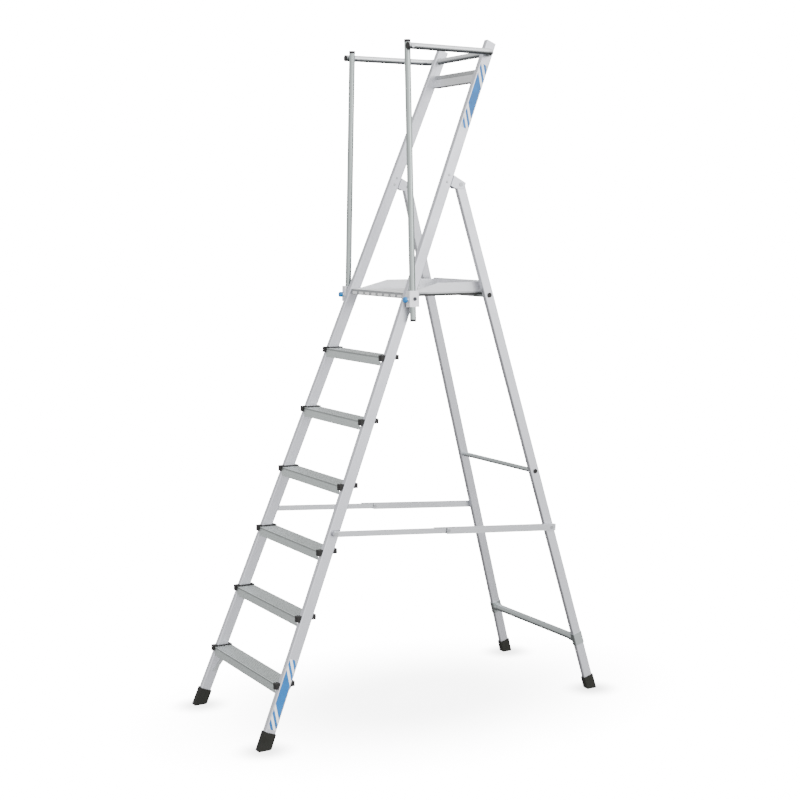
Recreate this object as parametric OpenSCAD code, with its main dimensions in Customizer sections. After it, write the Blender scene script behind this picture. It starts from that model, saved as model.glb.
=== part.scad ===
// Folding platform step ladder with six treads, a standing deck and a guard rail.
// Millimetres, +Z up, +Y towards the rear legs, X across. Origin on the floor, centred.

/* [Front ladder] */
// Lean of the front stiles from vertical, degrees
stile_lean = 22.03; // [21.9:0.01:22.2]
// Inward taper of the front stiles, degrees
stile_taper = 2.638; // [2.6:0.002:2.68]
// Width of a stile across the ladder
stile_w = 25; // [23:0.5:25]
// Depth of a stile front to back
stile_d = 44; // [42:0.5:45]
// Wall thickness of stiles and legs
tube_wall = 2; // [1.5:0.1:2.4]
// Length of a stile along its own axis, floor to top
stile_len = 2866; // [2850:1:2880]

/* [Treads] */
// Height of the first tread top
tread_first = 238; // [234:1:242]
// Rise from one tread to the next
tread_rise = 240; // [238:1:241]
// Tread depth front to back
tread_depth = 74; // [71:1:75]
// Height of the tread front face
tread_h = 36; // [34:1:38]
// Overhang of the tread in front of the stiles
tread_nose = 11; // [10:1:12]
// Number of grip grooves along a tread
tread_grooves = 8; // [7:1:9]

/* [Rear frame] */
// Lean of the rear legs from vertical, degrees
leg_lean = 15.81; // [15.7:0.01:15.9]
// Inward taper of the rear legs, degrees
leg_taper = 2.952; // [2.93:0.002:2.97]
// Width of a rear leg across the ladder
leg_w = 22; // [21:0.5:22.5]
// Depth of a rear leg front to back
leg_d = 40; // [38:0.5:41]
// Diameter of the tube the deck rests on
support_tube_d = 20; // [18:1:20]
// Diameter of the middle cross tube
mid_tube_d = 19; // [16:1:20]
// Diameter of the lower cross tube
low_tube_d = 30; // [27:1:31]

/* [Platform] */
// Height of the deck top above the floor
deck_top = 1678; // [1677:0.5:1679]
// Thickness of the deck sheet
deck_t = 6; // [5.5:0.5:6]
// Height of the side toe boards above the deck
toe_side_h = 36; // [32:1:40]
// Height of the rear toe board above the deck
toe_rear_h = 41; // [38:1:44]
// Number of round grip bumps across the deck
bump_count = 8; // [6:1:8]

/* [Guard rail] */
// Height of the rail centreline above the floor
rail_z = 2610; // [2606:1:2612]
// Diameter of the guard rail tube
rail_d = 25; // [24:0.2:25.2]
// Diameter of the sliding posts
post_d = 24; // [23.4:0.2:24]
// Length of a post
post_len = 1049; // [1035:1:1060]

/* [Feet and trim] */
// How far a foot stands proud of its tube
foot_proud = 4; // [3:0.5:4]
// Height of a front foot
front_foot_h = 64; // [60:1:68]
// Height of a rear foot
rear_foot_h = 56; // [52:1:60]
// Knob diameter
knob_d = 22; // [20:1:24]

/* [Hidden] */

$fn = 48;
stile_x0 = 309.18;
stile_y0 = -753.5;
leg_x0 = 316.07;
leg_y0 = 756.26;
fit = 0.08;
far = 400;
tube_start = 14;
corner_r = 3.5;
rivet_r = 3;
rivet_offsets = [13, -16];
cap_t = 4;
strip_inlay = 2.4;
strip_proud = 1.5;
strip_rise = 4.5;
rear_flange = 14;
ear_front = 19;
ear_rear = 16;
ear_under = 4;
ear_h = 18;
ear_front_h = 22;
ear_w = 22;

// Centreline positions of the stiles and legs at a given height.
function stile_y(z) = stile_y0 + tan(stile_lean) * z;
function stile_x(z) = stile_x0 - tan(stile_taper) / cos(stile_lean) * z;
function leg_y(z) = leg_y0 - tan(leg_lean) * z;
function leg_x(z) = leg_x0 - tan(leg_taper) / cos(leg_lean) * z;

// Fold hinge: on the leg centreline, hinge_back behind the stile centreline.
hinge_back = 63.4;
hinge_z = (leg_y0 - stile_y0 - hinge_back / cos(stile_lean)) / (tan(stile_lean) + tan(leg_lean));
hinge_y = leg_y(hinge_z);
hinge_r = 5;
hinge_along = (hinge_z + hinge_back * sin(stile_lean)) / (cos(stile_lean) * cos(stile_taper));
leg_top = hinge_z / (cos(leg_lean) * cos(leg_taper));
leg_neck = 12;
eye_r = 13.5;
cheek_x = 14;
cheek_t = 1.7;

// Backrest bar foot.
backrest_y = 277.3;
backrest_z = 2500;

// Deck pivot and supports.
pivot_z = 1662;
pivot_y = stile_y(pivot_z);
pivot_r = 4;
deck_front = pivot_y - 13;
deck_rear = pivot_y + 381;
deck_under = deck_top - deck_t;
deck_half = 211.6;
deck_slope = 0.0461;
nose_bottom = 1656;
nose_back = pivot_y + 15;
bump_pitch = 52;
skirt_x = 178;
support_y = pivot_y + 366.3;
support_z = deck_under - support_tube_d / 2 - 0.1;
function deck_w(y) = deck_half - deck_slope * (y - pivot_y);

// Cross tubes between the rear legs.
mid_z = 942;
low_z = 222;
low_y = leg_y(low_z) - 4;
sleeve_len = 22;
sleeve_h = 50;
leg_bolt_z = 1716.5;
leg_bolt_y = leg_y(leg_bolt_z) - 14;
leg_bolt_r = 2.5;

// Braces: stile pivot, leg end and knee half way between them.
brace_a_z = 782;
brace_a_y = stile_y(brace_a_z);
brace_b_z = 707.5;
brace_b_y = leg_y(brace_b_z);
brace_tilt = atan((brace_a_z - brace_b_z) / (brace_b_y - brace_a_y));
brace_link = norm([brace_b_y - brace_a_y, brace_a_z - brace_b_z]) / 2;
bar_x = 295;
bar_t = 4;
bar_h = 22.4;
channel_x = 291;
channel_w = 14;
channel_h = 27;
channel_wall = 2;
channel_ahead = 65;
channel_behind = 20;
tongue_start = 8;
brace_pin_r = 4;

// Rail, posts and sockets. up_open and up_shut are the post directions at the two ends
// of the travel; the swivel axis is square to both.
rail_y = stile_y(rail_z);
rail_wall = 1.5;
rail_bend_r = 36;
rail_bend_x = 196;
rail_splay = 2.8;
rail_front = 13;
socket_z = 1657;
socket_x = 262.4;
post_y = stile_y(socket_z);
post_top_x = 221;
post_shut_x = 223.4;
rail_arm = rail_y - post_y;
shut_y = rail_y - rail_arm * sin(stile_lean);
shut_z = rail_z - rail_arm * cos(stile_lean);
up_open = [post_top_x - socket_x, 0, rail_z - socket_z];
up_shut = [post_shut_x - socket_x, shut_y - post_y, shut_z - socket_z];
swivel = cross(up_shut, up_open);
swivel_yaw = asin(swivel[1] / norm(swivel));
post_tilt = atan(-up_open[0] / up_open[2]);
post_low = -79;
post_cap_h = 10;
post_plug_h = 8;
rail_x0 = rail_bend_x + rail_bend_r * cos(rail_splay);
rail_y0 = rail_y - rail_bend_r + rail_bend_r * sin(rail_splay);
rail_len = (rail_y0 - post_y + rail_front) / cos(rail_splay);
rail_post_x = rail_x0 + (rail_y0 - post_y) * tan(rail_splay);
boss_r = 10;
boss_end = -22.2;
stub_r = 6;
stub_end = -14.8;
socket_w = 30;
socket_d = 46;
socket_h = 62;
knob_z = -3;
knob_gap = 28.8;
plunger_r = 3;
bush_r = 14.5;
bush_flange_r = 15.5;

module on_side(side) {
    if (side < 0) mirror([1, 0, 0]) children();
    else children();
}

module both_sides() {
    children();
    mirror([1, 0, 0]) children();
}

// Frames with z along a right-hand member, x outwards and y to its rear.
module in_stile_frame() {
    translate([stile_x0, stile_y0, 0])
        rotate([-stile_lean, 0, 0])
            rotate([0, -stile_taper, 0])
                children();
}

module in_leg_frame() {
    translate([leg_x0, leg_y0, 0])
        rotate([leg_lean, 0, 0])
            rotate([0, -leg_taper, 0])
                children();
}

// Frame at the socket: z up the post, x outwards along the swivel bolt.
module in_socket_frame() {
    translate([socket_x, post_y, socket_z])
        rotate([0, -post_tilt, 0])
            rotate([0, 0, swivel_yaw])
                children();
}

module rounded_rect(w, d, r) {
    square([w - 2 * r, d], center = true);
    square([w, d - 2 * r], center = true);
    for (sx = [-1, 1], sy = [-1, 1])
        translate([sx * (w / 2 - r), sy * (d / 2 - r)]) circle(r);
}

module tube_section(w, d, r) {
    difference() {
        rounded_rect(w, d, r);
        rounded_rect(w - 2 * tube_wall, d - 2 * tube_wall, r - tube_wall / 2);
    }
}

module x_pin(x0, x1, r) {
    translate([x0, 0, 0]) rotate([0, 90, 0]) cylinder(r = r, h = x1 - x0);
}

module x_pin_at(x0, x1, y, z, r) {
    translate([0, y, z]) x_pin(x0, x1, r);
}

// ---- Front ladder ----

module stile(side) {
    color([0.79, 0.80, 0.81])
    on_side(side)
    difference() {
        in_stile_frame()
            translate([0, 0, tube_start])
                linear_extrude(stile_len - tube_start)
                    tube_section(stile_w, stile_d, corner_r);
        x_pin_at(100, 260, rail_y, rail_z, bush_r);
        x_pin_at(190, 225, pivot_y, pivot_z, pivot_r);
        in_socket_frame() x_pin(-36, -15, stub_r);
        x_pin_at(265, 290, brace_a_y, brace_a_z, brace_pin_r);
        in_stile_frame()
            for (dz = rivet_offsets)
                translate([0, 0, hinge_along + dz])
                    x_pin(-20, 20, rivet_r);
    }
}

module stile_left() { stile(-1); }
module stile_right() { stile(1); }

// Tread section: grooved top, deep front flange with a lip, short rear flange.
module tread_section() {
    groove = tread_depth / (tread_grooves + 1);
    difference() {
        square([tread_depth, tread_h]);
        translate([2.4, 2.4]) square([tread_depth - 4.8, tread_h - 6]);
        translate([12, -1]) square([tread_depth, tread_h - rear_flange + 1]);
        for (i = [1:tread_grooves])
            translate([i * groove, tread_h]) square([2.6, 2.4], center = true);
        translate([-1, tread_h - 9]) square([2.2, 5]);
        for (i = [1:2])
            translate([0, i * tread_h / 4]) square([1.2, 2], center = true);
    }
}

module tread_prism() {
    translate([-far, 0, 0])
        rotate([90, 0, 90])
            linear_extrude(2 * far)
                children();
}

function tread_front(i) =
    stile_y(tread_first + i * tread_rise) - stile_d / 2 / cos(stile_lean) - tread_nose;
function tread_base(i) = tread_first + i * tread_rise - tread_h;

module beyond_stiles() {
    both_sides()
        in_stile_frame()
            translate([-stile_w / 2, -200, 0])
                cube([250, 400, 3000]);
}

// Upstand let into the end of a tread top, against the inner face of a right-hand stile.
module tread_strip(i) {
    intersection() {
        translate([0, tread_front(i), tread_base(i)])
            tread_prism()
                translate([-strip_proud, tread_h - strip_inlay])
                    square([tread_depth + 2 * strip_proud, strip_inlay + strip_rise]);
        in_stile_frame()
            translate([-stile_w / 2 - cap_t, -200, 0])
                cube([cap_t, 400, 2000]);
    }
}

// Solid outline of a right-hand stile, used to trim pieces that sit against it.
module stile_block() {
    in_stile_frame()
        translate([-stile_w / 2, -stile_d / 2, 0])
            cube([stile_w, stile_d, stile_len]);
}

// Full outline of a tread up to the inner face of a right-hand stile.
module tread_end_block(i) {
    intersection() {
        translate([0, tread_front(i), tread_base(i)])
            tread_prism() square([tread_depth, tread_h]);
        in_stile_frame()
            translate([-stile_w / 2 - 100, -200, 0])
                cube([100, 400, 2000]);
    }
}

module tread(i) {
    color([0.65, 0.66, 0.67])
    difference() {
        translate([0, tread_front(i), tread_base(i)])
            tread_prism() tread_section();
        beyond_stiles();
        both_sides() tread_strip(i);
    }
}

module tread_1() { tread(0); }
module tread_2() { tread(1); }
module tread_3() { tread(2); }
module tread_4() { tread(3); }
module tread_5() { tread(4); }
module tread_6() { tread(5); }

// Plastic end piece of a tread: the inlaid strip with an ear in front of and behind the stile.
module tread_cap(i) {
    top = tread_first + i * tread_rise;
    half_slice = stile_d / 2 / cos(stile_lean);
    tread_strip(i);
    difference() {
        union() {
            translate([stile_x(top) - 2.5, stile_y(top) - half_slice - (ear_front - ear_under) / 2,
                top - ear_front_h + strip_rise + 1])
                linear_extrude(ear_front_h) rounded_rect(ear_w, ear_front + ear_under, 5);
            translate([stile_x(top) - 2.5, stile_y(top) + half_slice + (ear_rear - ear_under) / 2,
                top - ear_h + strip_rise])
                linear_extrude(ear_h) rounded_rect(ear_w, ear_rear + ear_under, 5);
        }
        stile_block();
        tread_end_block(i);
    }
}

module tread_caps(side) {
    color([0.12, 0.12, 0.12])
    on_side(side)
        for (i = [0:5]) tread_cap(i);
}

module tread_caps_left() { tread_caps(-1); }
module tread_caps_right() { tread_caps(1); }

// Takes off everything below the floor and bevels the four bottom edges.
module floor_trim(x0, x1, y0, y1) {
    translate([0, -1000, -100]) cube([500, 2000, 100]);
    translate([0, y0 + 5, 0]) rotate([-45, 0, 0]) translate([0, -60, -40]) cube([500, 120, 40]);
    translate([0, y1 - 5, 0]) rotate([45, 0, 0]) translate([0, -60, -40]) cube([500, 120, 40]);
    translate([x1 - 4, 0, 0]) rotate([0, -45, 0]) translate([-60, -1000, -40]) cube([120, 2000, 40]);
    translate([x0 + 4, 0, 0]) rotate([0, 45, 0]) translate([-60, -1000, -40]) cube([120, 2000, 40]);
}

module front_foot(side) {
    reach_y = (stile_d / 2 + foot_proud) / cos(stile_lean);
    reach_x = stile_w / 2 + foot_proud;
    color([0.13, 0.13, 0.11])
    on_side(side)
    difference() {
        in_stile_frame()
            translate([0, 0, -40])
                linear_extrude(40 + front_foot_h / cos(stile_lean))
                    rounded_rect(stile_w + 2 * foot_proud, stile_d + 2 * foot_proud, 5);
        in_stile_frame()
            translate([0, 0, tube_start])
                linear_extrude(200)
                    rounded_rect(stile_w, stile_d, corner_r);
        floor_trim(stile_x0 - reach_x, stile_x0 + reach_x, stile_y0 - reach_y, stile_y0 + reach_y);
    }
}

module front_foot_left() { front_foot(-1); }
module front_foot_right() { front_foot(1); }

module rear_foot(side) {
    reach_y = (leg_d / 2 + foot_proud) / cos(leg_lean);
    reach_x = leg_w / 2 + foot_proud;
    color([0.13, 0.13, 0.11])
    on_side(side)
    difference() {
        in_leg_frame()
            translate([0, 0, -40])
                linear_extrude(40 + rear_foot_h / cos(leg_lean))
                    rounded_rect(leg_w + 2 * foot_proud, leg_d + 2 * foot_proud, 5);
        in_leg_frame()
            translate([0, 0, tube_start])
                linear_extrude(200)
                    rounded_rect(leg_w, leg_d, corner_r);
        floor_trim(leg_x0 - reach_x, leg_x0 + reach_x, leg_y0 - reach_y, leg_y0 + reach_y);
    }
}

module rear_foot_left() { rear_foot(-1); }
module rear_foot_right() { rear_foot(1); }

// Bowed back support near the top of the stiles, with a long groove in its front face.
module backrest_bar() {
    color([0.70, 0.71, 0.73])
    difference() {
        translate([0, backrest_y, backrest_z])
            tread_prism()
                difference() {
                    polygon([[0, 0], [20, 0], [29, 51], [9, 51]]);
                    polygon([[3, 33], [8, 33], [8, 36], [3, 36]]);
                    translate([7, 6]) polygon([[0, 0], [8, 0], [14, 36], [6, 36]]);
                }
        both_sides()
            in_stile_frame()
                translate([-stile_w / 2, -200, 0])
                    cube([250, 400, 3000]);
    }
}

// Two cheeks with a top web and a base plate; the leg top turns between the cheeks.
module hinge_bracket(side) {
    front = stile_d / 2;
    color([0.72, 0.73, 0.75])
    on_side(side)
    difference() {
        in_stile_frame()
            translate([-cheek_x, 0, hinge_along])
                rotate([90, 0, 90])
                    linear_extrude(2 * cheek_x)
                        polygon([[front, 21], [82, 14.4], [84, -10], [45, -24.4], [front, -23]]);
        in_stile_frame()
            translate([-cheek_x + cheek_t, 0, hinge_along])
                rotate([90, 0, 90])
                    linear_extrude(2 * (cheek_x - cheek_t))
                        polygon([[front + 3, 18.7], [100, 10.2], [100, -30], [front + 3, -30]]);
        x_pin_at(180, 230, hinge_y, hinge_z, hinge_r);
    }
}

module hinge_bracket_left() { hinge_bracket(-1); }
module hinge_bracket_right() { hinge_bracket(1); }

module hinge_pins() {
    x = leg_x(hinge_z);
    color([0.55, 0.56, 0.58])
    both_sides() {
        x_pin_at(x - 15, x + 15, hinge_y, hinge_z, hinge_r);
        x_pin_at(x + 14.6, x + 16.4, hinge_y, hinge_z, 8);
        x_pin_at(x - 16.4, x - 14.6, hinge_y, hinge_z, 8);
    }
}

module ladder_rivets() {
    color([0.60, 0.61, 0.63])
    both_sides()
        in_stile_frame()
            for (dz = rivet_offsets)
                translate([0, 0, hinge_along + dz]) {
                    x_pin(-stile_w / 2 - 0.4, stile_w / 2 + 0.4, rivet_r);
                    translate([stile_w / 2, 0, 0])
                        rotate([0, 90, 0]) cylinder(r1 = 5, r2 = 3.2, h = 1.4);
                    translate([-stile_w / 2, 0, 0])
                        rotate([0, -90, 0]) cylinder(r1 = 5, r2 = 3.2, h = 1.4);
                }
}

module platform_pivot_bolts() {
    x = stile_x(pivot_z) - stile_w / 2;
    color([0.45, 0.46, 0.48])
    both_sides() {
        x_pin_at(x - 10, x + 10, pivot_y, pivot_z, pivot_r);
        difference() {
            x_pin_at(deck_half + 0.6, x + 4, pivot_y, pivot_z, 9);
            x_pin_at(deck_half - 5, x + 10, pivot_y, pivot_z, pivot_r);
            stile_block();
        }
    }
}

// Straps from the stiles up to the rear of the first tread.
module tread_gussets() {
    rear = tread_front(0) + tread_depth;
    top = tread_first - rear_flange;
    low = tread_base(0) - 64;
    color([0.66, 0.67, 0.69])
    both_sides()
        intersection() {
            tread_prism()
                polygon([[stile_y(low) - 4, low], [stile_y(low) + 12, low - 2],
                    [rear, top], [rear - 18, top]]);
            in_stile_frame()
                translate([-stile_w / 2 - cap_t, -200, 0])
                    cube([cap_t, 400, 2000]);
        }
}

module label(side) {
    color([0.45, 0.62, 0.80])
    on_side(side)
        in_stile_frame()
            for (a = [82, 2500])
                translate([stile_w / 2, -17, a])
                    cube([0.4, 34, 268]);
}

module label_left() { label(-1); }
module label_right() { label(1); }

module rail_bushes() {
    x = stile_x(rail_z);
    color([0.70, 0.71, 0.72])
    both_sides()
        difference() {
            union() {
                difference() {
                    x_pin_at(x - 13.6, x + 13.6, rail_y, rail_z, bush_flange_r);
                    stile_block();
                }
                x_pin_at(x - 13.6, x + 13.6, rail_y, rail_z, bush_r);
            }
            x_pin_at(x - 20, x + 20, rail_y, rail_z, rail_d / 2 + fit);
        }
}

module brace_spacers() {
    color([0.60, 0.61, 0.63])
    both_sides()
        difference() {
            x_pin_at(276, bar_x - 0.3, brace_a_y, brace_a_z, 8);
            x_pin_at(270, bar_x + 5, brace_a_y, brace_a_z, brace_pin_r);
            stile_block();
        }
}

module brace_pivot_rivets() {
    x = bar_x + bar_t + 0.3;
    color([0.40, 0.41, 0.43])
    both_sides() {
        x_pin_at(272, x, brace_a_y, brace_a_z, brace_pin_r);
        x_pin_at(x, x + 2.4, brace_a_y, brace_a_z, 8);
    }
}

module socket_pivot_bolts() {
    color([0.35, 0.36, 0.38])
    both_sides()
        in_socket_frame()
            x_pin(-36, stub_end, stub_r);
}

// ---- Rear frame ----

module leg(side) {
    x = leg_x(support_z);
    color([0.80, 0.80, 0.82])
    on_side(side)
    difference() {
        in_leg_frame() {
            translate([0, 0, tube_start])
                linear_extrude(leg_top - leg_neck - tube_start)
                    tube_section(leg_w, leg_d, corner_r);
            translate([-leg_w / 2, -eye_r, leg_top - leg_neck - 8])
                cube([leg_w, 2 * eye_r, leg_neck + 8]);
            translate([0, 0, leg_top]) x_pin(-leg_w / 2, leg_w / 2, eye_r);
        }
        x_pin_at(180, 230, hinge_y, hinge_z, hinge_r + fit);
        x_pin_at(190, 270, support_y, support_z, support_tube_d / 2);
        x_pin_at(230, 310, leg_y(mid_z), mid_z, mid_tube_d / 2);
        x_pin_at(270, leg_x(low_z), low_y, low_z, low_tube_d / 2);
        x_pin_at(x - 20, x, leg_bolt_y, leg_bolt_z, leg_bolt_r);
    }
}

module leg_left() { leg(-1); }
module leg_right() { leg(1); }

module hollow_bar(half, y, z, d, wall) {
    difference() {
        x_pin_at(-half, half, y, z, d / 2);
        x_pin_at(-half - 1, half + 1, y, z, d / 2 - wall);
    }
}

module platform_support_tube() {
    color([0.78, 0.79, 0.80])
    hollow_bar(leg_x(support_z) + leg_w / 2 + 1, support_y, support_z, support_tube_d, 2);
}

module mid_cross_tube() {
    color([0.78, 0.79, 0.80])
    hollow_bar(leg_x(mid_z) + leg_w / 2 + 1, leg_y(mid_z), mid_z, mid_tube_d, 2);
}

module lower_cross_tube() {
    color([0.72, 0.74, 0.76])
    hollow_bar(leg_x(low_z) - leg_w / 2 + 3, low_y, low_z, low_tube_d, 2);
}

// Bands round the legs with a collar for the lower cross tube.
module cross_tube_sleeves() {
    x = leg_x(low_z) - leg_w / 2;
    along = low_z / (cos(leg_lean) * cos(leg_taper));
    color([0.62, 0.64, 0.66])
    both_sides()
        difference() {
            union() {
                in_leg_frame()
                    translate([0, 0, along - sleeve_h / 2])
                        linear_extrude(sleeve_h)
                            rounded_rect(leg_w + 4, leg_d + 5, corner_r + 2);
                x_pin_at(x - sleeve_len, x, low_y, low_z, low_tube_d / 2 + 3);
            }
            in_leg_frame()
                linear_extrude(along + 100)
                    rounded_rect(leg_w, leg_d, corner_r);
            x_pin_at(x - 60, x + 11, low_y, low_z, low_tube_d / 2);
        }
}

module leg_plugs() {
    x1 = leg_x(support_z) + leg_w / 2 + 1;
    x2 = leg_x(mid_z) + leg_w / 2 + 1;
    color([0.12, 0.12, 0.12])
    both_sides() {
        x_pin_at(x1 - 10, x1, support_y, support_z, support_tube_d / 2 - 2);
        x_pin_at(x1, x1 + 2, support_y, support_z, support_tube_d / 2);
        x_pin_at(x2 - 10, x2, leg_y(mid_z), mid_z, mid_tube_d / 2 - 2);
        x_pin_at(x2, x2 + 1.5, leg_y(mid_z), mid_z, mid_tube_d / 2);
    }
}

module leg_bolts() {
    x = leg_x(leg_bolt_z) - leg_w / 2;
    color([0.45, 0.46, 0.48])
    both_sides() {
        x_pin_at(x - 4.4, x - 0.6, leg_bolt_y, leg_bolt_z, 5);
        x_pin_at(x - 2, x + 6, leg_bolt_y, leg_bolt_z, leg_bolt_r);
    }
}

// ---- Platform ----

module deck_outline(inset, y0, y1) {
    polygon([[-deck_w(y0) + inset, y0], [deck_w(y0) - inset, y0],
        [deck_w(y1) - inset, y1], [-deck_w(y1) + inset, y1]]);
}

module deck_bump() {
    cylinder(r1 = 16, r2 = 13, h = 1.2);
    translate([0, 0, 1.2]) cylinder(r1 = 13, r2 = 6, h = 0.8);
}

module nose_bump() {
    linear_extrude(1.4) rounded_rect(36, 11, 5);
    linear_extrude(2) rounded_rect(30, 6, 2.8);
}

module platform_deck() {
    color([0.62, 0.63, 0.64])
    difference() {
        union() {
            translate([0, 0, deck_under])
                linear_extrude(deck_t) deck_outline(0, deck_front, deck_rear);
            translate([0, 0, deck_under - 14])
                linear_extrude(14.5) deck_outline(0, deck_rear - 3, deck_rear);
            for (i = [0:bump_count - 1])
                for (y = [deck_front + 19, deck_front + 64])
                    translate([(i - (bump_count - 1) / 2) * bump_pitch, y, deck_top - 0.2])
                        deck_bump();
        }
        for (cell = [[-1, -0.02], [0.02, 1]])
            translate([0, 0, deck_under - 1])
                linear_extrude(deck_t - 1.5)
                    intersection() {
                        deck_outline(8, nose_back + 6, support_y - 16);
                        translate([cell[0] * deck_half, deck_front])
                            square([(cell[1] - cell[0]) * deck_half, 500]);
                    }
    }
}

module platform_nose() {
    color([0.66, 0.67, 0.68])
    difference() {
        union() {
            translate([0, 0, nose_bottom])
                linear_extrude(deck_under - nose_bottom) deck_outline(0, deck_front, nose_back);
            for (i = [0:bump_count - 1])
                translate([(i - (bump_count - 1) / 2) * bump_pitch, deck_front + 0.2,
                    (nose_bottom + deck_under) / 2])
                    rotate([90, 0, 0]) nose_bump();
        }
        both_sides()
            x_pin_at(deck_half - 14, deck_half + 5, pivot_y, pivot_z, pivot_r + fit);
    }
}

module platform_ribs() {
    len = support_y - 20 - nose_back;
    color([0.40, 0.41, 0.42])
    for (x = [-140, 0, 140])
        translate([x - 12, nose_back, deck_under - 12])
            difference() {
                cube([24, len, 12]);
                translate([2, 2, -1]) cube([20, len - 4, 10]);
            }
    both_sides()
        translate([skirt_x, 0, 0])
            rotate([90, 0, 90])
                linear_extrude(3)
                    polygon([[nose_back + 120, deck_under + 3.5], [support_y - 20, deck_under + 3.5],
                        [support_y - 20, deck_under - 12], [nose_back + 120, deck_under - 1]]);
}

// Upright plates round the sides and back of the deck, sloping down at the front.
module platform_toe_board() {
    rear = deck_rear - 6;
    color([0.74, 0.75, 0.77])
    union() {
        both_sides()
            intersection() {
                translate([0, 0, deck_top])
                    linear_extrude(toe_rear_h)
                        difference() {
                            deck_outline(0.5, deck_front, rear);
                            deck_outline(3.5, deck_front - 1, rear + 1);
                        }
                tread_prism()
                    polygon([[deck_front + 22, deck_top], [deck_front + 164, deck_top + toe_side_h],
                        [rear - 8, deck_top + toe_side_h], [rear, deck_top + toe_rear_h],
                        [rear, deck_top]]);
            }
        translate([0, 0, deck_top])
            linear_extrude(toe_rear_h) deck_outline(0.5, rear - 3, rear);
    }
}

// ---- Braces ----

// Frame at the stile pivot with y running along the brace to its rear end.
module in_brace_frame() {
    translate([0, brace_a_y, brace_a_z])
        rotate([-brace_tilt, 0, 0])
            children();
}

module brace_bar(side) {
    color([0.74, 0.75, 0.77])
    on_side(side)
        in_brace_frame()
            difference() {
                union() {
                    translate([bar_x, 0, -bar_h / 2]) cube([bar_t, brace_link, bar_h]);
                    x_pin_at(bar_x, bar_x + bar_t, 0, 0, bar_h / 2);
                    x_pin_at(bar_x, bar_x + bar_t, brace_link, 0, bar_h / 2);
                }
                x_pin_at(bar_x - 5, bar_x + 10, 0, 0, brace_pin_r + fit);
                x_pin_at(bar_x - 5, bar_x + 10, brace_link, 0, brace_pin_r + fit);
            }
}

module brace_bar_left() { brace_bar(-1); }
module brace_bar_right() { brace_bar(1); }

// U channel open downwards; its web reaches ahead of the knee and stops it going over centre.
module brace_channel(side) {
    end = 2 * brace_link + channel_behind;
    start = brace_link - tongue_start;
    tongue = brace_link - channel_ahead;
    top = channel_h / 2;
    color([0.78, 0.79, 0.81])
    on_side(side)
        in_brace_frame()
            difference() {
                union() {
                    translate([channel_x, tongue, top - channel_wall])
                        cube([channel_w, end - tongue, channel_wall]);
                    for (x = [channel_x, channel_x + channel_w - channel_wall])
                        translate([x, start, -top]) cube([channel_wall, end - start, channel_h]);
                }
                x_pin_at(channel_x - 5, channel_x + 20, brace_link, 0, brace_pin_r);
                x_pin_at(channel_x - 5, channel_x + 20, 2 * brace_link, 0, brace_pin_r);
            }
}

module brace_channel_left() { brace_channel(-1); }
module brace_channel_right() { brace_channel(1); }

// Knee pin and rear rivet of a brace.
module brace_rear_pins(side) {
    x1 = channel_x + channel_w;
    color([0.45, 0.46, 0.48])
    on_side(side)
        in_brace_frame()
            for (y = [brace_link, 2 * brace_link]) {
                x_pin_at(channel_x, x1, y, 0, brace_pin_r);
                x_pin_at(x1, x1 + 2, y, 0, 7);
                if (y < brace_link + 1) x_pin_at(channel_x - 1.6, channel_x, y, 0, 7);
            }
}

module brace_rear_pins_left() { brace_rear_pins(-1); }
module brace_rear_pins_right() { brace_rear_pins(1); }

// ---- Guard rail, posts and sockets ----

module ring(r, wall) {
    difference() {
        circle(r);
        circle(r - wall);
    }
}

// Frame at the rear end of a right-hand rail arm, z running forwards along the arm.
module in_arm_frame() {
    translate([rail_x0, rail_y0, rail_z])
        rotate([0, 0, rail_splay])
            rotate([90, 0, 0])
                children();
}

// One bent tube made as a cross run, two bends and two arms with a hair line between them.
module guard_rail() {
    r = rail_d / 2;
    inner = r - rail_wall;
    run = rail_bend_x - 0.02;
    color([0.76, 0.77, 0.78])
    union() {
        difference() {
            x_pin_at(-run, run, rail_y, rail_z, r);
            x_pin_at(-run - 1, run + 1, rail_y, rail_z, inner);
        }
        both_sides() {
            translate([rail_bend_x, rail_y - rail_bend_r, rail_z])
                rotate([0, 0, rail_splay])
                    rotate_extrude(angle = 90 - rail_splay)
                        translate([rail_bend_r, 0]) ring(r, rail_wall);
            difference() {
                in_arm_frame() translate([0, 0, 0.02]) cylinder(r = r, h = rail_len - 0.02);
                in_arm_frame() translate([0, 0, -1]) cylinder(r = inner, h = rail_len + 2);
                x_pin_at(rail_post_x - 30, rail_post_x + 30, post_y, rail_z, 4);
            }
        }
    }
}

module rail_end_caps() {
    color([0.12, 0.12, 0.12])
    both_sides()
        in_arm_frame() {
            translate([0, 0, rail_len]) cylinder(r = rail_d / 2 + 0.3, h = 4);
            translate([0, 0, rail_len - 6]) cylinder(r = rail_d / 2 - rail_wall, h = 6);
        }
}

module rail_post_bolts() {
    x1 = rail_post_x + rail_d / 2;
    color([0.30, 0.31, 0.32])
    both_sides() {
        x_pin_at(rail_post_x - rail_d / 2 - 0.6, x1 + 0.5, post_y, rail_z, 4);
        x_pin_at(x1 + 0.5, x1 + 4, post_y, rail_z, 8);
    }
}

module post_socket(side) {
    color([0.74, 0.75, 0.77])
    on_side(side)
        in_socket_frame()
            difference() {
                union() {
                    translate([0, 0, -socket_h / 2])
                        linear_extrude(socket_h) rounded_rect(socket_w, socket_d, 6);
                    x_pin(boss_end, -12, boss_r);
                    translate([0, -socket_d / 2 + 1, knob_z])
                        rotate([90, 0, 0]) cylinder(r = 7, h = knob_gap - socket_d / 2 - 1.3);
                }
                translate([0, 0, -socket_h]) cylinder(r = post_d / 2 + fit, h = 2 * socket_h);
                x_pin(boss_end - 1, stub_end + 0.3, stub_r + fit);
                translate([0, 0, knob_z])
                    rotate([90, 0, 0]) cylinder(r = plunger_r + fit, h = 60);
            }
}

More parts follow.
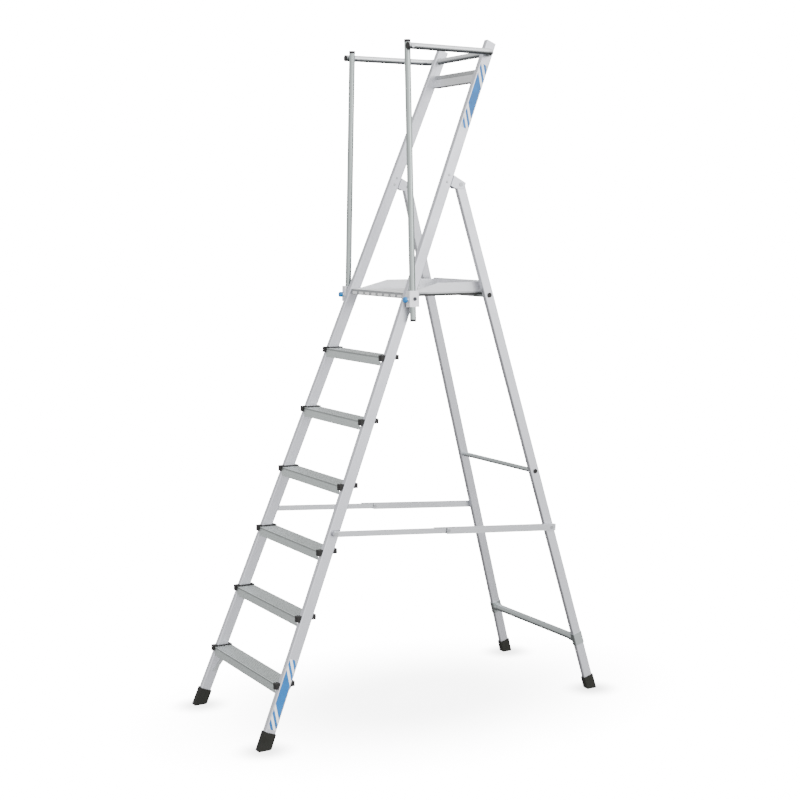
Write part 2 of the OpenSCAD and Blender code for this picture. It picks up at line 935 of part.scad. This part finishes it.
module post_socket_left() { post_socket(-1); }
module post_socket_right() { post_socket(1); }

module socket_bolt(side) {
    color([0.15, 0.15, 0.16])
    on_side(side)
        in_socket_frame()
            x_pin(socket_w / 2, socket_w / 2 + 3.5, 7);
}

module socket_bolt_left() { socket_bolt(-1); }
module socket_bolt_right() { socket_bolt(1); }

module post(side) {
    color([0.76, 0.77, 0.78])
    on_side(side)
        in_socket_frame()
            translate([0, 0, post_low])
                linear_extrude(post_len) ring(post_d / 2, rail_wall);
}

module post_left() { post(-1); }
module post_right() { post(1); }

module post_caps(side) {
    inner = post_d / 2 - rail_wall;
    color([0.20, 0.20, 0.21])
    on_side(side)
        in_socket_frame() {
            translate([0, 0, post_low + post_len])
                cylinder(r = post_d / 2 + 0.6, h = post_cap_h);
            translate([0, 0, post_low + post_len - 8]) cylinder(r = inner, h = 8);
            translate([0, 0, post_low - post_plug_h]) cylinder(r = post_d / 2, h = post_plug_h);
            translate([0, 0, post_low]) cylinder(r = inner, h = 8);
        }
}

module post_caps_left() { post_caps(-1); }
module post_caps_right() { post_caps(1); }

module socket_knob(side) {
    color([0.33, 0.61, 0.80])
    on_side(side)
        in_socket_frame()
            translate([0, 0, knob_z])
                rotate([90, 0, 0]) {
                    translate([0, 0, post_d / 2 + 0.5])
                        cylinder(r = plunger_r, h = knob_gap - post_d / 2);
                    translate([0, 0, knob_gap]) cylinder(r1 = knob_d / 2 - 1, r2 = knob_d / 2, h = 1);
                    translate([0, 0, knob_gap + 1]) cylinder(r = knob_d / 2, h = 9);
                    translate([0, 0, knob_gap + 10])
                        cylinder(r1 = knob_d / 2, r2 = knob_d / 2 - 2, h = 2);
                }
}

module socket_knob_left() { socket_knob(-1); }
module socket_knob_right() { socket_knob(1); }

stile_left();
stile_right();
tread_1();
tread_2();
tread_3();
tread_4();
tread_5();
tread_6();
tread_caps_left();
tread_caps_right();
front_foot_left();
front_foot_right();
backrest_bar();
hinge_bracket_left();
hinge_bracket_right();
hinge_pins();
ladder_rivets();
platform_pivot_bolts();
tread_gussets();
label_left();
label_right();
rail_bushes();
brace_spacers();
brace_pivot_rivets();
socket_pivot_bolts();
leg_left();
leg_right();
rear_foot_left();
rear_foot_right();
platform_support_tube();
mid_cross_tube();
lower_cross_tube();
cross_tube_sleeves();
leg_plugs();
leg_bolts();
platform_deck();
platform_nose();
platform_ribs();
platform_toe_board();
brace_bar_left();
brace_bar_right();
brace_channel_left();
brace_channel_right();
brace_rear_pins_left();
brace_rear_pins_right();
guard_rail();
rail_end_caps();
rail_post_bolts();
post_socket_left();
post_socket_right();
socket_bolt_left();
socket_bolt_right();
post_left();
post_right();
post_caps_left();
post_caps_right();
socket_knob_left();
socket_knob_right();
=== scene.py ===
import math

import bpy
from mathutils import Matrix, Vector

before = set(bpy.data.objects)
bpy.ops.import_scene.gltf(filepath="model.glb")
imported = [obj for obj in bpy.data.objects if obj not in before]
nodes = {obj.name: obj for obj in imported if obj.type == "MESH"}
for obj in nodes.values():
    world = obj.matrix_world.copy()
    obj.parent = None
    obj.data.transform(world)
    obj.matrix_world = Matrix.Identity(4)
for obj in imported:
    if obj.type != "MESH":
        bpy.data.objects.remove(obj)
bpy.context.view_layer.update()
scene = bpy.context.scene


# ---------------------------------------------------------------- materials

# Stile axis: its lean from upright, and where it meets the floor. Lengths are in metres.
LEAN = math.radians(22.03)
FRONT_AXIS_Y = -0.7535
TREAD_RISE = 0.24
# The next two place the painted shadow line just below each tread's top edge.
TREAD_SHADOW_ABOVE = 0.0075
TREAD_SHADOW_TALL = 0.0072
# White for the label print, and for the painted highlights on the deck's bumps.
WHITE_PRINT_AND_HIGHLIGHT = (1, 1, 1, 1)

# Labels, measured along the stile: both ends of each, and the stripes at those ends.
LABEL_SPANS = ((0.075, 0.357), (2.493, 2.775))
LABEL_SLANT = 1.6
STRIPE_PITCH = 0.038
STRIPE_GAP = 0.019
STRIPED_END = 0.076


def srgb(r, g, b):
    out = []
    for v in (r, g, b):
        v = v / 255
        out.append(v / 12.92 if v <= 0.04045 else ((v + 0.055) / 1.055) ** 2.4)
    return tuple(out) + (1.0,)


def tint(c, k):
    return (c[0] * k, c[1] * k, c[2] * k, 1.0)


class Graph:
    """Small helpers for building a node tree."""

    def __init__(self, tree):
        self.tree = tree

    def add(self, kind, **props):
        n = self.tree.nodes.new(kind)
        for k, v in props.items():
            setattr(n, k, v)
        return n

    def link(self, a, b):
        self.tree.links.new(a, b)

    def put(self, sock, v):
        if isinstance(v, (tuple, float, int)):
            sock.default_value = v
        else:
            self.link(v, sock)

    def math(self, op, a, b=0.0):
        n = self.add("ShaderNodeMath", operation=op)
        self.put(n.inputs[0], a)
        self.put(n.inputs[1], b)
        return n.outputs[0]

    def span(self, value, lo, hi, out_lo, out_hi, smooth=False):
        r = self.add("ShaderNodeMapRange")
        if smooth:
            r.interpolation_type = "SMOOTHSTEP"
        for i, v in enumerate((lo, hi, out_lo, out_hi)):
            r.inputs[i + 1].default_value = v
        self.link(value, r.inputs[0])
        return r.outputs[0]

    def mix(self, fac, a, b):
        m = self.add("ShaderNodeMix", data_type="RGBA")
        self.put(m.inputs[0], fac)
        self.put(m.inputs[6], a)
        self.put(m.inputs[7], b)
        return m.outputs[2]

    def xyz(self, which="Object"):
        tc = self.add("ShaderNodeTexCoord")
        sep = self.add("ShaderNodeSeparateXYZ")
        self.link(tc.outputs[which], sep.inputs[0])
        return sep.outputs

    def dot(self, parts, vec):
        total = self.math("MULTIPLY", parts[0], float(vec[0]))
        for p, v in zip(parts[1:], vec[1:]):
            total = self.math("ADD", total, self.math("MULTIPLY", p, float(v)))
        return total


class Mat(Graph):
    """A Principled material built step by step."""

    def __init__(self, name, colour, metallic=0.0, rough=0.5):
        self.mat = bpy.data.materials.new(name)
        self.mat.use_nodes = True
        super().__init__(self.mat.node_tree)
        self.tree.nodes.clear()
        self.out = self.add("ShaderNodeOutputMaterial")
        self.bsdf = self.add("ShaderNodeBsdfPrincipled")
        self.link(self.bsdf.outputs[0], self.out.inputs[0])
        self.bsdf.inputs["Base Color"].default_value = colour
        self.bsdf.inputs["Metallic"].default_value = metallic
        self.bsdf.inputs["Roughness"].default_value = rough
        self.last_bump = None

    def noise(self, scale, size=1.0, detail=4.0, rough=0.6):
        tc = self.add("ShaderNodeTexCoord")
        mp = self.add("ShaderNodeMapping")
        mp.inputs["Scale"].default_value = scale
        self.link(tc.outputs["Object"], mp.inputs["Vector"])
        n = self.add("ShaderNodeTexNoise")
        n.inputs["Scale"].default_value = size
        n.inputs["Detail"].default_value = detail
        n.inputs["Roughness"].default_value = rough
        self.link(mp.outputs[0], n.inputs["Vector"])
        return n.outputs["Fac"]

    def bump(self, height, strength, distance):
        b = self.add("ShaderNodeBump")
        b.inputs["Strength"].default_value = strength
        b.inputs["Distance"].default_value = distance
        self.link(height, b.inputs["Height"])
        if self.last_bump:
            self.link(self.last_bump.outputs[0], b.inputs["Normal"])
        self.link(b.outputs[0], self.bsdf.inputs["Normal"])
        self.last_bump = b

    def paint(self, value):
        self.link(value, self.bsdf.inputs["Base Color"])


def metal(name, colour, rough, grain=(40, 40, 1.2), wear=0.05, metallic=0.9, grain_bump=0.08,
          shade=None):
    """Satin metal: a fine grain along one axis, soft patches and a few darker scuffs."""
    m = Mat(name, colour, metallic, rough)
    streak = m.noise(grain, 24, 5)
    cloud = m.noise((1, 1, 1), 7, 3)
    col = m.mix(m.span(streak, 0.3, 0.7, 0, 1), tint(colour, 1 - wear), tint(colour, 1 + wear))
    scuff = m.span(m.noise((1, 1, 1), 55, 6, 0.7), 0.62, 0.78, 0, 0.22)
    col = m.mix(scuff, col, tint(colour, 0.7))
    if shade:
        col = shade(m, col)
    m.paint(col)
    m.link(m.span(cloud, 0.3, 0.7, rough - 0.05, rough + 0.08), m.bsdf.inputs["Roughness"])
    m.bump(streak, grain_bump, 0.0003)
    return m.mat


def plastic(name, colour, rough, size=900, strength=0.25, shade=None):
    """Moulded plastic or rubber: a fine texture and slightly uneven tone."""
    m = Mat(name, colour, 0.0, rough)
    fine = m.noise((1, 1, 1), size, 2)
    cloud = m.noise((1, 1, 1), 18, 4)
    col = m.mix(m.span(cloud, 0.35, 0.7, 0, 1), tint(colour, 0.85), tint(colour, 1.25))
    if shade:
        col = shade(m, col)
    m.paint(col)
    m.link(m.span(cloud, 0.3, 0.7, rough - 0.06, rough + 0.1), m.bsdf.inputs["Roughness"])
    m.bump(fine, strength, 0.0002)
    return m.mat


def reach(name, axis, side):
    """How far a node's mesh goes along an axis, to its low (-1) or high (1) side."""
    values = [v.co[axis] for v in nodes[name].data.vertices]
    return max(values) if side > 0 else min(values)


BAR_LOW = reach("backrest_bar", 2, -1)
TREAD_TOP = reach("tread_1", 2, 1)
DECK_HIGH = reach("platform_deck", 2, 1)
DECK_FRONT = reach("platform_deck", 1, -1)
NOSE_FRONT = reach("platform_nose", 1, -1)
RAIL_MID = (reach("guard_rail", 2, 1) + reach("guard_rail", 2, -1)) / 2


def tread_nose_shadow(m, col):
    """Painted shadow: a darker rounded line where each tread top turns down into its front, for the
    shade under the nose edge.
    """
    z = m.xyz()[2]
    near = m.math("MODULO", m.math("ADD", z, TREAD_RISE - TREAD_TOP + TREAD_SHADOW_ABOVE),
                  TREAD_RISE)
    line = m.math("MULTIPLY", m.math("LESS_THAN", near, TREAD_SHADOW_TALL), 0.55)
    return m.mix(line, col, srgb(105, 109, 109))


def bar_painted_shade(m, col):
    """Painted shade: a darker upper third of the back bar, where it turns away from the light, and
    a dark lower edge for its shaded underside.
    """
    z = m.xyz()[2]
    upper = m.span(z, BAR_LOW + 0.031, BAR_LOW + 0.036, 0, 0.62, True)
    low = m.span(z, BAR_LOW + 0.002, BAR_LOW + 0.006, 0.8, 0, True)
    return m.mix(low, m.mix(upper, col, srgb(120, 124, 124)), srgb(60, 60, 60))


def deck_bump_highlights(m, col):
    """Painted highlights: white tops on the deck's bumps, on a slightly darker front band of the
    deck.
    """
    _, y, z = m.xyz()
    band = m.span(y, DECK_FRONT + 0.095, DECK_FRONT + 0.13, 0.5, 0.0, True)
    col = m.mix(band, col, srgb(120, 122, 124))
    return m.mix(m.span(z, DECK_HIGH - 0.0021, DECK_HIGH - 0.0014, 0, 1), col, WHITE_PRINT_AND_HIGHLIGHT)


def rail_shade(m, col):
    """Darker underside of the polished rail tube."""
    z = m.xyz()[2]
    low = m.span(z, RAIL_MID - 0.009, RAIL_MID + 0.002, 0.9, 0.0, True)
    return m.mix(low, col, srgb(96, 102, 102))


def nose_bump_highlights(m, col):
    """Painted highlights: near-white fronts on the bumps standing out of the nose."""
    y = m.xyz()[1]
    return m.mix(m.span(y, NOSE_FRONT + 0.0005, NOSE_FRONT + 0.0018, 1, 0), col,
                 srgb(250, 250, 250))


def label_stripes(m, col):
    """Blue field with two white slanted stripes at each end; plain metal past the cut ends."""
    _, y, z = m.xyz()
    y = m.math("SUBTRACT", y, FRONT_AXIS_Y)
    across = m.dot((y, z), (math.cos(LEAN), -math.sin(LEAN)))
    along = m.dot((y, z), (math.sin(LEAN), math.cos(LEAN)))
    slanted = m.math("ADD", along, m.math("MULTIPLY", across, LABEL_SLANT))
    inside = [m.math("MINIMUM", m.math("SUBTRACT", slanted, low), m.math("SUBTRACT", high, slanted))
              for low, high in LABEL_SPANS]
    depth = m.math("MAXIMUM", inside[0], inside[1])
    white = m.math("GREATER_THAN", m.math("MODULO", depth, STRIPE_PITCH), STRIPE_GAP)
    white = m.math("MULTIPLY", white, m.math("LESS_THAN", depth, STRIPED_END))
    col = m.mix(white, col, WHITE_PRINT_AND_HIGHLIGHT)
    return m.mix(m.math("LESS_THAN", depth, 0.0), col, srgb(206, 208, 213))


stile_mat = metal("stile_anodised", srgb(205, 206, 213), 0.4)
leg_mat = metal("leg_anodised", srgb(207, 208, 214), 0.38, metallic=0.95)
tread_mat = metal("tread_extrusion", srgb(200, 206, 205), 0.46, grain=(1.2, 40, 40),
                  shade=tread_nose_shadow)
strap_mat = metal("strap_metal", srgb(186, 189, 190), 0.45)
deck_mat = metal("deck_sheet", srgb(190, 192, 195), 0.45, grain=(1.2, 30, 30), shade=deck_bump_highlights)
nose_mat = metal("nose_sheet", srgb(172, 174, 176), 0.45, grain=(1.2, 30, 30), shade=nose_bump_highlights)
# Painted shade: the ribs under the deck are dark grey for the shade under the platform.
rib_shade_mat = metal("rib_metal_painted_shade", srgb(96, 96, 96), 0.5, grain=(30, 1.2, 30))
toe_mat = metal("toe_board_metal", srgb(224, 225, 229), 0.42, grain=(30, 1.2, 30))
tube_mat = metal("tube_satin", srgb(168, 174, 174), 0.3, grain=(1.2, 40, 40), metallic=1.0)
brace_mat = metal("brace_metal", srgb(205, 207, 211), 0.38, grain=(40, 1.2, 40))
socket_mat = metal("socket_cast", srgb(240, 240, 243), 0.5, grain=(30, 30, 30), wear=0.03)
rail_mat = metal("rail_polished", srgb(218, 220, 222), 0.34, grain=(40, 1.2, 40), wear=0.02,
                 metallic=0.85, grain_bump=0.0, shade=rail_shade)
post_mat = metal("post_polished", srgb(158, 166, 164), 0.26, grain=(40, 40, 1.2), wear=0.02,
                 metallic=1.0, grain_bump=0.0)
bar_mat = metal("backrest_metal", srgb(226, 227, 229), 0.36, grain=(1.2, 40, 40),
                shade=bar_painted_shade)
steel_mat = metal("zinc_steel", srgb(170, 172, 175), 0.3, grain=(60, 60, 60))
dark_steel = metal("dark_steel", srgb(70, 72, 76), 0.4, grain=(60, 60, 60))
rubber_mat = plastic("foot_rubber", srgb(13, 14, 6), 0.75)
black_mat = plastic("black_plastic", srgb(12, 12, 11), 0.55)
knob_mat = plastic("knob_blue", srgb(16, 122, 190), 0.4, size=500, strength=0.08)
label_mat = plastic("label_blue", srgb(14, 104, 172), 0.45, size=400, strength=0.05,
                    shade=label_stripes)

LOOK = {
    stile_mat: ["stile_left", "stile_right", "hinge_bracket_left", "hinge_bracket_right"],
    leg_mat: ["leg_left", "leg_right"],
    tread_mat: [f"tread_{i}" for i in range(1, 7)],
    strap_mat: ["tread_gussets", "rail_bushes"],
    deck_mat: ["platform_deck"],
    nose_mat: ["platform_nose"],
    rib_shade_mat: ["platform_ribs"],
    toe_mat: ["platform_toe_board"],
    tube_mat: ["platform_support_tube", "mid_cross_tube", "lower_cross_tube",
               "cross_tube_sleeves"],
    brace_mat: ["brace_bar_left", "brace_bar_right", "brace_channel_left",
                "brace_channel_right"],
    socket_mat: ["post_socket_left", "post_socket_right"],
    rail_mat: ["guard_rail"],
    post_mat: ["post_left", "post_right"],
    bar_mat: ["backrest_bar"],
    steel_mat: ["hinge_pins", "ladder_rivets", "platform_pivot_bolts", "brace_spacers",
                "brace_pivot_rivets", "leg_bolts", "brace_rear_pins_left",
                "brace_rear_pins_right", "rail_post_bolts"],
    dark_steel: ["socket_pivot_bolts", "socket_bolt_left", "socket_bolt_right"],
    rubber_mat: ["front_foot_left", "front_foot_right", "rear_foot_left", "rear_foot_right"],
    black_mat: ["tread_caps_left", "tread_caps_right", "leg_plugs", "rail_end_caps",
                "post_caps_left", "post_caps_right"],
    knob_mat: ["socket_knob_left", "socket_knob_right"],
    label_mat: ["label_left", "label_right"],
}
for mat, names in LOOK.items():
    for name in names:
        o = nodes[name]
        o.data.materials.clear()
        o.data.materials.append(mat)

# ---------------------------------------------------------------- studio

# WHITE is the strength that renders as pure white, and FEET is where the feet stand at rest, where
# the floor's painted contact shadows sit.
WHITE = 17.0
FEET = [(0.309, -0.753), (-0.309, -0.753), (0.316, 0.756), (-0.316, 0.756)]
ROOM = 20
WALL_SIDES = 16


def glow(name, painted_shadow=False):
    """A bright studio surface; when asked, a painted shadow dims it softly under and round the
    ladder, darkest round where the feet stand.
    """
    mat = bpy.data.materials.new(name)
    mat.use_nodes = True
    g = Graph(mat.node_tree)
    g.tree.nodes.clear()
    out = g.add("ShaderNodeOutputMaterial")
    em = g.add("ShaderNodeEmission")
    g.link(em.outputs[0], out.inputs[0])
    em.inputs["Strength"].default_value = WHITE
    if painted_shadow:
        x, y, _ = g.xyz()

        def away(cx, cy, sx, sy):
            dx = g.math("MULTIPLY", g.math("SUBTRACT", x, cx), 1 / sx)
            dy = g.math("MULTIPLY", g.math("SUBTRACT", y, cy), 1 / sy)
            return g.math("SQRT", g.math("ADD", g.math("MULTIPLY", dx, dx),
                                         g.math("MULTIPLY", dy, dy)))

        # Painted shadow: the floor dims softly under the whole ladder.
        strength = g.span(away(0.05, 0.05, 0.75, 1.15), 0.2, 1.25, WHITE * 0.42, WHITE, True)
        # Painted contact shadows round each foot, fixed where the feet stand at rest.
        for cx, cy in FEET:
            foot_shadow = g.span(away(cx + 0.01, cy, 0.09, 0.1), 0.2, 1.5, 0.35, 1.0, True)
            strength = g.math("MULTIPLY", strength, foot_shadow)
        g.link(strength, em.inputs["Strength"])
    return mat


def studio(name, corners, faces, mat):
    """A backdrop surface that the camera sees and that neither lights nor shades the part."""
    me = bpy.data.meshes.new(name)
    me.from_pydata(corners, [], faces)
    o = bpy.data.objects.new(name, me)
    scene.collection.objects.link(o)
    me.materials.append(mat)
    o.visible_diffuse = False
    o.visible_glossy = False
    o.visible_shadow = False
    o.visible_transmission = False


studio("floor", [(-ROOM, -ROOM, 0), (ROOM, -ROOM, 0), (ROOM, ROOM, 0), (-ROOM, ROOM, 0)],
       [(0, 1, 2, 3)], glow("floor_glow_painted_shadow", True))
turns = [a * math.pi / (WALL_SIDES / 2) for a in range(WALL_SIDES)]
walls = [(ROOM * math.cos(t), ROOM * math.sin(t), z) for z in (-15, 25) for t in turns]
panels = [(i, (i + 1) % WALL_SIDES, WALL_SIDES + (i + 1) % WALL_SIDES, WALL_SIDES + i)
          for i in range(WALL_SIDES)]
studio("backdrop", walls, panels, glow("backdrop_glow"))

# Soft surroundings: bright from the right, dim below the horizon, darker straight behind.
RIGHTWARD = (0.93, 0.33, 0.15)
BACKWARD = (-0.255, 0.967, 0.0)
world = bpy.data.worlds.new("studio")
scene.world = world
world.use_nodes = True
w = Graph(world.node_tree)
bg = world.node_tree.nodes["Background"]
way = w.xyz("Generated")
level = w.span(way[2], -0.42, -0.12, 0.22, 1.0, True)
right = w.span(w.dot(way, RIGHTWARD), -0.8, 0.9, 1.05, 2.4, True)
behind = w.span(w.dot(way, BACKWARD), 0.22, 0.6, 1.0, 0.2, True)
lift = w.span(way[2], -0.02, 0.10, 0.0, 1.0, True)
behind = w.math("MAXIMUM", behind, lift)
w.link(w.math("MULTIPLY", w.math("MULTIPLY", level, right), behind), bg.inputs[1])
bg.inputs[0].default_value = (1, 1, 1, 1)


KEY_PLACE = Vector((6, 2, 4))
KEY_TARGET = Vector((0, 0, 1.3))
key_data = bpy.data.lights.new("key", "AREA")
key_data.shape = "SQUARE"
key_data.size = 4
key_data.energy = 150
key = bpy.data.objects.new("key", key_data)
scene.collection.objects.link(key)
key.location = KEY_PLACE
key.rotation_euler = (KEY_TARGET - KEY_PLACE).to_track_quat("-Z", "Y").to_euler()

# Camera: focal length for a view FRAME_WIDE across, sensor in mm, angles in degrees.
FOCAL = 1480.1227
FRAME_WIDE = 800
SENSOR = 36
PITCH = 6.7497
HEADING = 59.901
cam_data = bpy.data.cameras.new("camera")
cam = bpy.data.objects.new("camera", cam_data)
scene.collection.objects.link(cam)
cam.location = (5.1556, -2.9755, 1.9392)
cam.rotation_euler = (math.radians(90 - PITCH), 0, math.radians(HEADING))
cam_data.sensor_width = SENSOR
cam_data.lens = FOCAL / FRAME_WIDE * SENSOR
cam_data.clip_end = 100
scene.camera = cam
